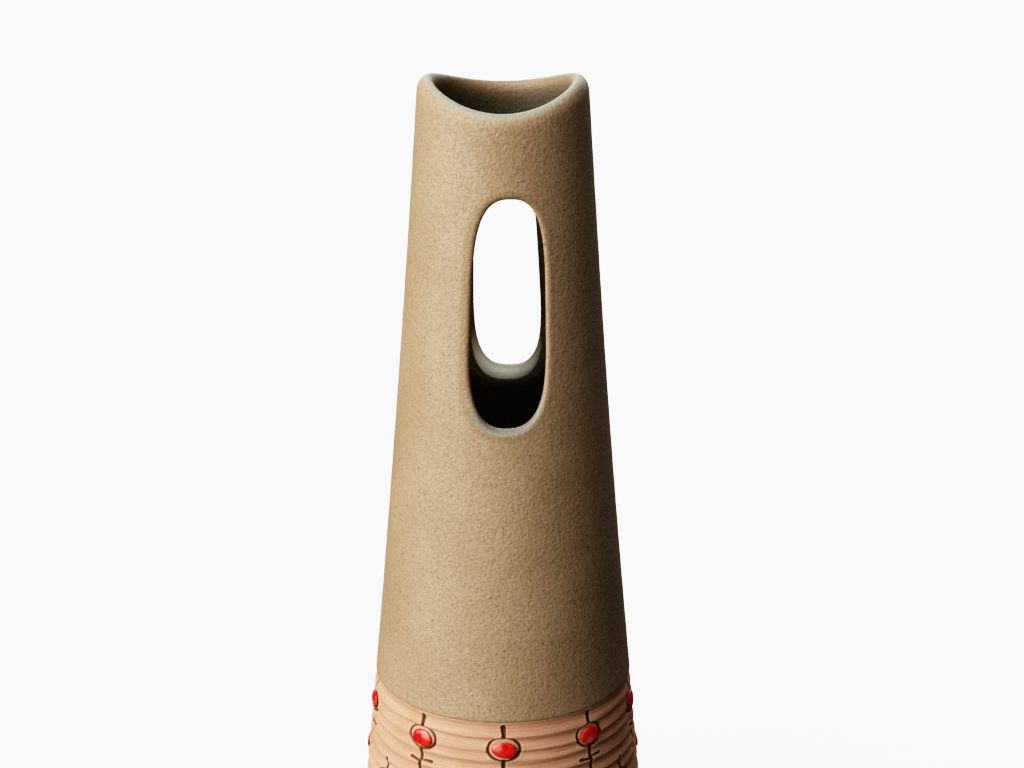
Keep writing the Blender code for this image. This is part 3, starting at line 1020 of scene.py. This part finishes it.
def lining_glaze():
    """A satin brown-beige glaze, poured and pooled darker in places."""
    made, tree, shader, space = new_material("lining_glaze_looks")
    flow = fade(tree, noise(tree, stretched(tree, space, (60, 60, 18)), 1.0, 3), 0.35, 0.7)
    colour = blend(tree, flow, LINING_BROWN, GLAZE_SPECK)
    grain = fade(tree, noise(tree, space, 1000, 2, 0.6), 0.55, 0.75)
    colour = blend(tree, times(tree, grain, 0.4), colour, GLAZE_SPECK)
    tree.links.new(colour, shader.inputs["Base Color"])
    tree.links.new(fade(tree, flow, 0.0, 1.0, 0.30, 0.42), shader.inputs["Roughness"])
    tree.links.new(bump(tree, noise(tree, space, 300, 2), 0.3, 0.00015), shader.inputs["Normal"])
    return made


# ---------------------------------------------------------------- stage


def direction(azimuth, elevation):
    """A unit vector. Azimuth is counted from the front towards +X."""
    turn, up = radians(azimuth), radians(elevation)
    return Vector((sin(turn) * cos(up), -cos(turn) * cos(up), sin(up)))


def collection_of(name, objects):
    made = bpy.data.collections.new(name)
    for item in objects:
        made.objects.link(item)
    return made


def lamp(name, kind, azimuth, elevation, distance, power, size, lit):
    """A light aimed at the neck that lights only the objects of one collection."""
    data = bpy.data.lights.new(name, kind)
    data.energy = power
    if kind == "AREA":
        data.shape = "RECTANGLE"
        data.size, data.size_y = size
    else:
        data.angle = size
    aim = Vector((0, 0, LAMPS_AIM * HEIGHT))
    hang(name, data, aim, direction(azimuth, elevation), distance, lit)


def window_lamp(lit):
    """A narrow lamp that shines almost level through the front window on the sill of the back one."""
    data = bpy.data.lights.new("through_window", "SPOT")
    data.energy = BEAM_POWER
    data.spot_size = radians(BEAM_ANGLE)
    data.spot_blend = 0.5
    data.shadow_soft_size = 0.004
    sill = BACK_WINDOW["bottom"] - INNER_ROUNDING[0]
    aim = Vector((BACK_WINDOW["shift"], BEAM_AIM[0], sill + BEAM_AIM[1]))
    hang("through_window", data, aim, direction(0, BEAM_ELEVATION), BEAM_LENGTH, lit)


def hang(name, data, aim, towards, distance, lit):
    """Places a light at a distance from a point and turns it to that point."""
    made = bpy.data.objects.new(name, data)
    bpy.context.scene.collection.objects.link(made)
    made.location = aim + towards * distance
    made.rotation_euler = towards.to_track_quat("Z", "Y").to_euler()
    made.visible_camera = False
    made.light_linking.receiver_collection = lit


def pale_floor():
    mesh = bpy.data.meshes.new("floor")
    reach = 60.0
    corners = [(-reach, -reach, 0), (reach, -reach, 0), (reach, reach, 0), (-reach, reach, 0)]
    mesh.from_pydata(corners, [], [(0, 1, 2, 3)])
    floor = bpy.data.objects.new("floor", mesh)
    bpy.context.scene.collection.objects.link(floor)
    made, _, shader, _ = new_material("pale_floor")
    shader.inputs["Base Color"].default_value = (0.9, 0.9, 0.9, 1.0)
    shader.inputs["Roughness"].default_value = 1.0
    shader.inputs["Specular IOR Level"].default_value = 0.0
    mesh.materials.append(made)
    floor.visible_diffuse = False
    floor.visible_glossy = False
    return floor


def world():
    """Dim light all round, and a pale background for the camera."""
    made = bpy.data.worlds.new("studio")
    made.use_nodes = True
    tree = made.node_tree
    sky = tree.nodes["Background"]
    sky.inputs["Color"].default_value = (SURROUND, SURROUND, SURROUND, 1.0)
    backdrop = node(tree, "Background", {"Color": (BACKGROUND, BACKGROUND, BACKGROUND, 1.0)})
    path = node(tree, "LightPath").outputs["Is Camera Ray"]
    mixed = node(tree, "MixShader", {0: path, 1: sky.outputs[0], 2: backdrop.outputs[0]})
    tree.links.new(mixed.outputs[0], tree.nodes["World Output"].inputs["Surface"])
    bpy.context.scene.world = made


def camera():
    """A long lens in front of the vase and above it, looking down."""
    data = bpy.data.cameras.new("camera")
    data.lens = LENS
    data.sensor_width = 36
    data.shift_x = SHIFT
    made = bpy.data.objects.new("camera", data)
    bpy.context.scene.collection.objects.link(made)
    made.location = (0, -CAMERA_AHEAD, CAMERA_HEIGHT * HEIGHT)
    made.rotation_euler = (radians(90 - LOOKS_DOWN), 0, 0)
    bpy.context.scene.camera = made


def tone():
    """Plain display colours under an S curve that deepens the shades and holds back the lights."""
    settings = bpy.context.scene.view_settings
    settings.view_transform = "Standard"
    settings.use_curve_mapping = True
    points = settings.curve_mapping.curves[3].points
    for i in range(1, TONE_POINTS):
        x = (i / TONE_POINTS) ** 2
        power = x**TONE_POWER
        points.new(x, power * (1 + TONE_KNEE) / (power + TONE_KNEE))
    settings.curve_mapping.update()


def lights(pieces, floor):
    vase = collection_of("lit_vase", pieces)
    ground = collection_of("lit_floor", [floor])
    for name, settings in LAMPS_ON_VASE.items():
        lamp(name, *settings, vase)
    window_lamp(vase)
    lamp("overhead", *LAMP_ON_FLOOR, ground)


def main():
    clay = bare_clay()
    glaze = speckled_glaze()
    enamel = red_enamel()
    pieces = [
        glaze_skin(glaze),
        neck_clay(clay),
        ridged_clay(clay),
        lining_cup(lining_glaze()),
    ]
    pieces += [red_drop(*spot, enamel) for spot in motif_places()]
    floor = pale_floor()
    lights(pieces, floor)
    world()
    camera()
    tone()


main()
